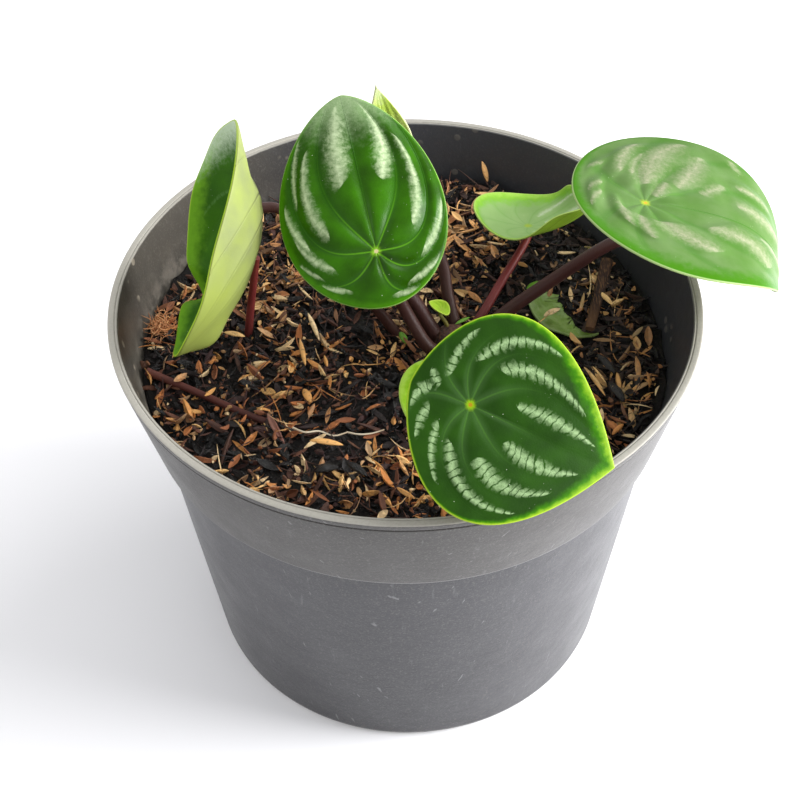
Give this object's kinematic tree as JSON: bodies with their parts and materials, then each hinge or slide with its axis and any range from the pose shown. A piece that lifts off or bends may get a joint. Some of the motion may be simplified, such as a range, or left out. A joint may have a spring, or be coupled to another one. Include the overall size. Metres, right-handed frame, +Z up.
{
  "type": "potted peperomia",
  "caption": "Watermelon peperomia with broad silver-striped leaves on maroon stalks, growing in bark and husk litter in a tapered round nursery pot.",
  "frame": {"origin": "centre of the flat underside of the pot, on the pot's axis, at the table's surface", "axes": "+Z up along the pot's axis, -Y towards the front of the plant, +X to the right seen from the front"},
  "size_m": [0.226, 0.2049, 0.2168],
  "materials": {
    "pot": "matt dark grey moulded plastic, scuffed and dusty",
    "soil": "damp near-black soil with rice husks, charred husks and bark chips",
    "crown": "rough brown stem base",
    "leaf": "glossy dark green with silver stripes between the veins",
    "young_leaf": "semi-gloss light green",
    "stalk": "satin maroon, fleshy",
    "dry_litter": "dry, fibrous and matt"
  },
  "bodies": {
    "root": {"pot": "pot", "soil": "soil", "crown": "crown", "leaf_left": "leaf", "leaf_centre": "leaf", "leaf_front": "leaf", "leaf_right": "leaf", "leaf_back": "young_leaf", "leaf_young_right": "young_leaf", "leaf_young_front": "young_leaf", "leaf_sprout": "young_leaf", "stalk_left": "stalk", "stalk_centre": "stalk", "stalk_front": "stalk", "stalk_right": "stalk", "stalk_back": "stalk", "stalk_young_right": "stalk", "stalk_young_front": "stalk", "stalk_sprout": "stalk", "stub_centre": "stalk", "stub_left": "stalk", "fallen_stalk": "stalk", "fallen_sheath": "dry_litter", "bark_strip": "dry_litter", "torn_leaf": "young_leaf"}
  },
  "joints": []
}
